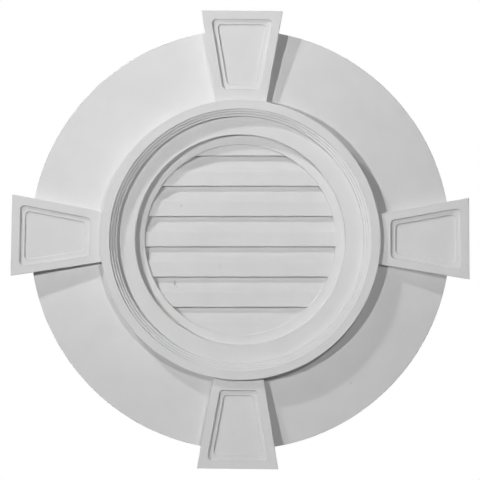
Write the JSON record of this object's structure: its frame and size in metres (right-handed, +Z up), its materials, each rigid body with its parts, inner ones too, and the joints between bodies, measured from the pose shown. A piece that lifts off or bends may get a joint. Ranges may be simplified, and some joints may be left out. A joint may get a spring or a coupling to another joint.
{
  "type": "gable vent",
  "caption": "Round moulded gable vent: a wide sloping flange with panelled keystones around a stepped ring, and fixed louvre blades across the opening.",
  "frame": {"origin": "centre of the vent on the wall plane, in the middle of the opening", "axes": "+X to the right seen from the front, +Z up, +Y into the wall; the front faces -Y"},
  "size_m": [0.7637, 0.076, 0.7633],
  "materials": {
    "primed_foam": "matte white factory primer on moulded foam plastic"
  },
  "bodies": {
    "root": {"gable_vent": "primed_foam"}
  },
  "joints": []
}
